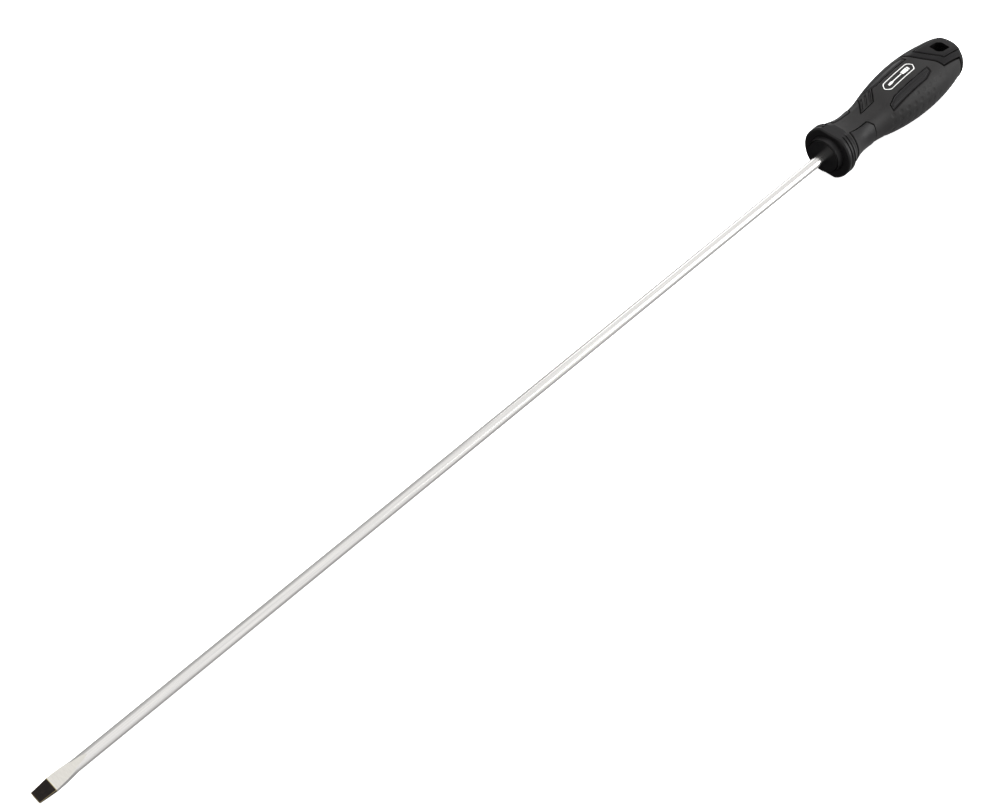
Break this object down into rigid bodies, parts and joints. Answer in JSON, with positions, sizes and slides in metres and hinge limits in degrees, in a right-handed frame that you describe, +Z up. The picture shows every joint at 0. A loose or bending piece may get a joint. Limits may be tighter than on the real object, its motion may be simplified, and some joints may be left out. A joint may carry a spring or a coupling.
{
  "type": "slotted screwdriver",
  "caption": "Long-reach flat-blade screwdriver: slim chrome-plated bar with a flared, blackened slotted tip and a black moulded grip with anti-roll collar and hang hole.",
  "frame": {"origin": "on the blade's axis, at the front face of the handle's collar", "axes": "+X along the blade to the tip, +Z up through the upper face of the handle and its hang hole, +Y to the left of the handle seen from behind"},
  "size_m": [0.61, 0.0322, 0.03],
  "materials": {
    "plated_steel": "bright chrome plate, softly polished along the bar",
    "blackened_steel": "black-dipped, ground slotted tip",
    "rigid_plastic": "fine satin moulded",
    "soft_grip": "matt soft-touch moulding with fine grain",
    "badge_ink": "white pad print"
  },
  "bodies": {
    "root": {"blade": "plated_steel", "core": "rigid_plastic", "collar": "rigid_plastic", "grip_sleeve": "soft_grip", "butt_band": "rigid_plastic", "end_cap": "rigid_plastic", "neck_pad_left": "rigid_plastic", "neck_pad_right": "rigid_plastic", "shoulder_inlay_upper_left": "rigid_plastic", "shoulder_inlay_upper_right": "rigid_plastic", "shoulder_inlay_lower_left": "rigid_plastic", "shoulder_inlay_lower_right": "rigid_plastic", "thumb_pad_upper": "soft_grip", "thumb_pad_lower": "soft_grip"}
  },
  "joints": []
}
